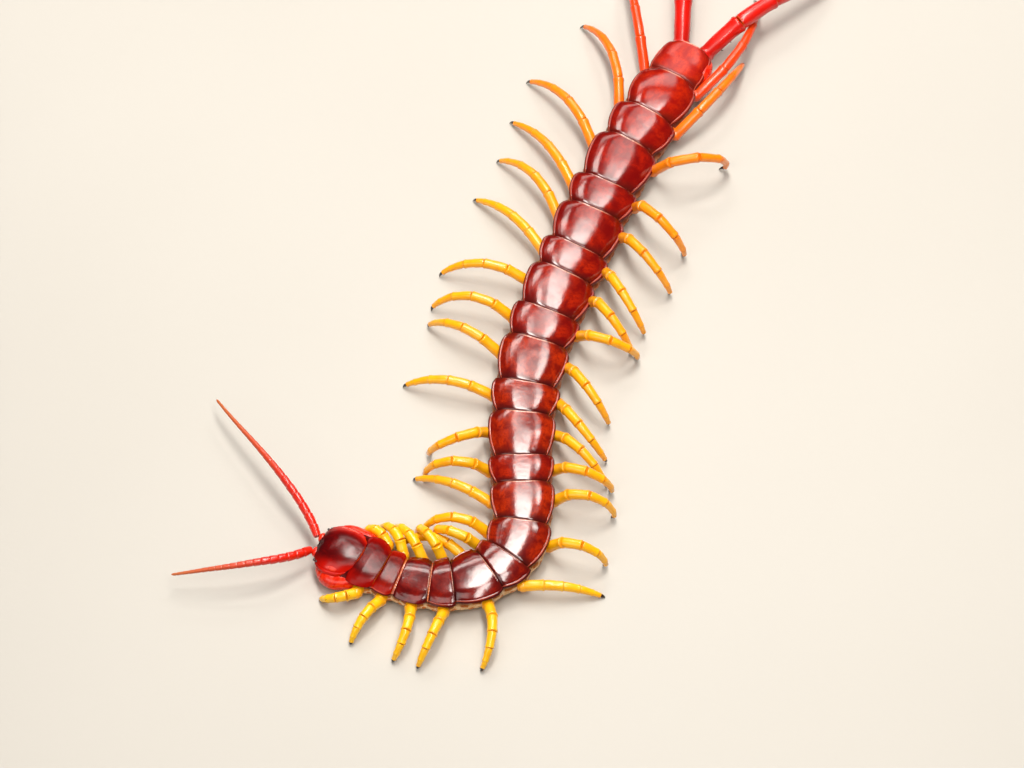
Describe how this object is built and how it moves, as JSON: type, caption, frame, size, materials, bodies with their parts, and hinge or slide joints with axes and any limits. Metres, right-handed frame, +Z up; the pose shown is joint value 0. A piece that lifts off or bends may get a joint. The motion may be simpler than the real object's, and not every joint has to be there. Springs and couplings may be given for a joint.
{
  "type": "giant centipede",
  "caption": "Life-size giant centipede at rest on a floor, trunk in a loose S, legs spread and antennae forward.",
  "frame": {"origin": "middle of the model's box, at floor level under the belly", "axes": "+Z up; +Y the longest way, from the head at the front left towards the tail at the back right; +X to the right of the picture"},
  "size_m": [0.1493, 0.2038, 0.0117],
  "materials": {
    "back_plate": "glossy dark red cuticle, mottled with orange brown",
    "head_plate": "glossy dark maroon cuticle",
    "leg": "glossy amber to orange cuticle",
    "last_leg": "glossy bright red cuticle",
    "antenna": "glossy red at the base, duller and browner to the tip",
    "poison_claw": "glossy red orange cuticle with black points",
    "membrane": "wrinkled pale soft skin between the plates",
    "claw_tip": "black horny points of the legs and the poison claws",
    "eye": "black glossy small eyes"
  },
  "bodies": {
    "root": {"head": "head_plate", "eyes_left": "eye", "eyes_right": "eye", "poison_claw_base": "poison_claw", "mouthparts": "poison_claw", "poison_claw_left": "poison_claw", "poison_claw_right": "poison_claw", "antenna_left": "antenna", "antenna_right": "antenna", "trunk_01_to_03": "back_plate", "trunk_04_to_06": "back_plate", "trunk_07_to_09": "back_plate", "trunk_10_to_12": "back_plate", "trunk_13_to_15": "back_plate", "trunk_16_to_18": "back_plate", "trunk_19_to_21": "back_plate", "leg_left_01": "leg", "leg_left_02": "leg", "leg_left_03": "leg", "leg_left_04": "leg", "leg_left_05": "leg", "leg_left_06": "leg", "leg_left_07": "leg", "leg_left_08": "leg", "leg_left_09": "leg", "leg_left_10": "leg", "leg_left_11": "leg", "leg_left_12": "leg", "leg_left_13": "leg", "leg_left_14": "leg", "leg_left_15": "leg", "leg_left_16": "leg", "leg_left_17": "leg", "leg_left_18": "leg", "leg_left_19": "leg", "leg_left_20": "leg", "leg_left_21": "last_leg", "leg_right_01": "leg", "leg_right_02": "leg", "leg_right_03": "leg", "leg_right_04": "leg", "leg_right_05": "leg", "leg_right_06": "leg", "leg_right_07": "leg", "leg_right_08": "leg", "leg_right_09": "leg", "leg_right_10": "leg", "leg_right_11": "leg", "leg_right_12": "leg", "leg_right_13": "leg", "leg_right_14": "leg", "leg_right_15": "leg", "leg_right_16": "leg", "leg_right_17": "leg", "leg_right_18": "leg", "leg_right_19": "leg", "leg_right_20": "leg", "leg_right_21": "last_leg"}
  },
  "joints": []
}
